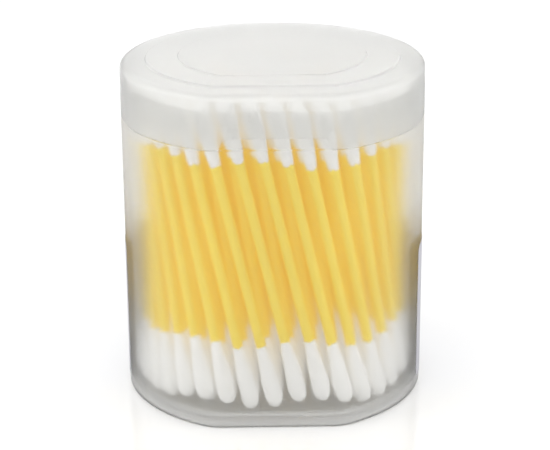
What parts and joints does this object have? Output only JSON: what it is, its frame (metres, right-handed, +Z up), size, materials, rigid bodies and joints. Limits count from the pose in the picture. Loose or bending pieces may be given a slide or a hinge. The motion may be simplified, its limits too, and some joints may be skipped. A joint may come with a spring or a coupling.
{
  "type": "cotton swab tub",
  "caption": "Frosted plastic tub with a flat front and a lift-off lid, full of cotton swabs with yellow sticks.",
  "frame": {"origin": "centre of the tub's footprint, on the surface it stands on", "axes": "+Z up out of the lid, -Y out of the flat front, +X to the right seen from the front"},
  "size_m": [0.072, 0.0686, 0.082],
  "materials": {
    "tub_plastic": "frosted",
    "lid_plastic": "frosted",
    "label_film": "satin",
    "stick_plastic": "satin",
    "cotton": "matte"
  },
  "bodies": {
    "tub": {"tub": "tub_plastic", "label": "label_film", "outer_ring_sticks": "stick_plastic", "outer_ring_lower_tips": "cotton", "outer_ring_upper_tips": "cotton", "second_ring_sticks": "stick_plastic", "second_ring_lower_tips": "cotton", "second_ring_upper_tips": "cotton", "third_ring_sticks": "stick_plastic", "third_ring_lower_tips": "cotton", "third_ring_upper_tips": "cotton", "fourth_ring_sticks": "stick_plastic", "fourth_ring_lower_tips": "cotton", "fourth_ring_upper_tips": "cotton", "fifth_ring_sticks": "stick_plastic", "fifth_ring_lower_tips": "cotton", "fifth_ring_upper_tips": "cotton", "sixth_ring_sticks": "stick_plastic", "sixth_ring_lower_tips": "cotton", "sixth_ring_upper_tips": "cotton", "centre_swab_sticks": "stick_plastic", "centre_swab_lower_tips": "cotton", "centre_swab_upper_tips": "cotton"},
    "lid": {"lid": "lid_plastic"}
  },
  "joints": [
    {"name": "lid_lift", "type": "slide", "parent": "tub", "child": "lid", "axis": [0, 0, 1], "range_m": [0, 0.03]}
  ]
}
